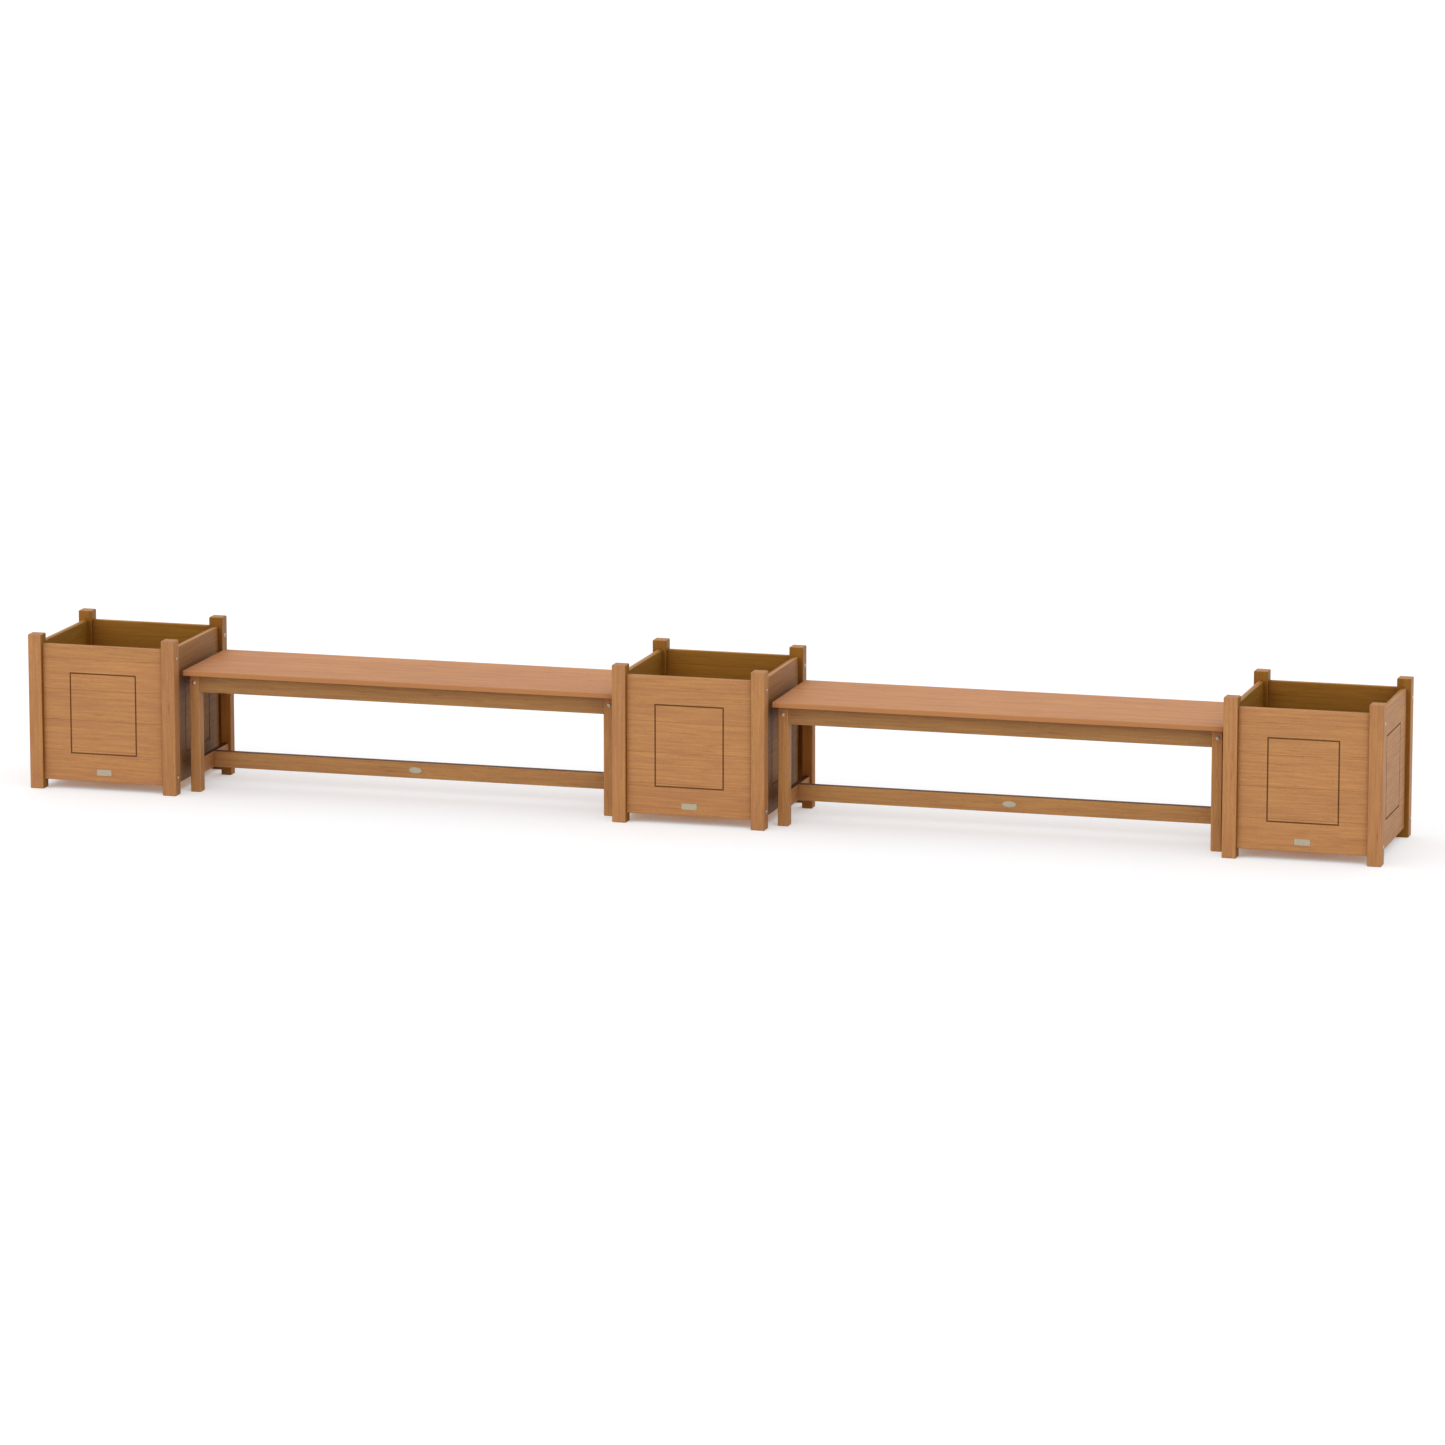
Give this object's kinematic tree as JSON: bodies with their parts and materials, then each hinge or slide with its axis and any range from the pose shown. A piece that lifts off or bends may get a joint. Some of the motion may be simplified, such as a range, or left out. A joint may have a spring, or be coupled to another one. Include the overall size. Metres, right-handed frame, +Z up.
{
  "type": "bench with planters",
  "caption": "Row of backless hardwood benches set between square panelled planter boxes with raised corner posts.",
  "frame": {"origin": "on the ground under the centre of the middle planter", "axes": "+X along the row to the right as seen from the front, -Y the front, +Z up"},
  "size_m": [4.87, 0.55, 0.556],
  "materials": {
    "oiled_hardwood": "oiled, satin",
    "seat_hardwood": "oiled, satin",
    "rail_hardwood": "oiled, satin",
    "inner_hardwood": "oiled, matt",
    "bolt_steel": "polished",
    "plate_metal": "satin"
  },
  "bodies": {
    "root": {"left_planter_post_front_left": "oiled_hardwood", "left_planter_post_front_right": "oiled_hardwood", "left_planter_post_back_left": "oiled_hardwood", "left_planter_post_back_right": "oiled_hardwood", "left_planter_panel_front": "oiled_hardwood", "left_planter_panel_back": "oiled_hardwood", "left_planter_panel_left": "oiled_hardwood", "left_planter_panel_right": "oiled_hardwood", "left_planter_floor": "inner_hardwood", "left_planter_cleat_left": "inner_hardwood", "left_planter_cleat_right": "inner_hardwood", "middle_planter_post_front_left": "oiled_hardwood", "middle_planter_post_front_right": "oiled_hardwood", "middle_planter_post_back_left": "oiled_hardwood", "middle_planter_post_back_right": "oiled_hardwood", "middle_planter_panel_front": "oiled_hardwood", "middle_planter_panel_back": "oiled_hardwood", "middle_planter_panel_left": "oiled_hardwood", "middle_planter_panel_right": "oiled_hardwood", "middle_planter_floor": "inner_hardwood", "middle_planter_cleat_left": "inner_hardwood", "middle_planter_cleat_right": "inner_hardwood", "right_planter_post_front_left": "oiled_hardwood", "right_planter_post_front_right": "oiled_hardwood", "right_planter_post_back_left": "oiled_hardwood", "right_planter_post_back_right": "oiled_hardwood", "right_planter_panel_front": "oiled_hardwood", "right_planter_panel_back": "oiled_hardwood", "right_planter_panel_left": "oiled_hardwood", "right_planter_panel_right": "oiled_hardwood", "right_planter_floor": "inner_hardwood", "right_planter_cleat_left": "inner_hardwood", "right_planter_cleat_right": "inner_hardwood", "left_bench_seat": "seat_hardwood", "left_bench_leg_front_left": "oiled_hardwood", "left_bench_leg_front_right": "oiled_hardwood", "left_bench_leg_back_left": "oiled_hardwood", "left_bench_leg_back_right": "oiled_hardwood", "left_bench_apron_front": "rail_hardwood", "left_bench_apron_back": "rail_hardwood", "left_bench_end_rail_left": "rail_hardwood", "left_bench_end_rail_right": "rail_hardwood", "left_bench_end_stretcher_left": "rail_hardwood", "left_bench_end_stretcher_right": "rail_hardwood", "left_bench_long_stretcher": "rail_hardwood", "left_bench_cross_rail": "rail_hardwood", "right_bench_seat": "seat_hardwood", "right_bench_leg_front_left": "oiled_hardwood", "right_bench_leg_front_right": "oiled_hardwood", "right_bench_leg_back_left": "oiled_hardwood", "right_bench_leg_back_right": "oiled_hardwood", "right_bench_apron_front": "rail_hardwood", "right_bench_apron_back": "rail_hardwood", "right_bench_end_rail_left": "rail_hardwood", "right_bench_end_rail_right": "rail_hardwood", "right_bench_end_stretcher_left": "rail_hardwood", "right_bench_end_stretcher_right": "rail_hardwood", "right_bench_long_stretcher": "rail_hardwood", "right_bench_cross_rail": "rail_hardwood"}
  },
  "joints": []
}
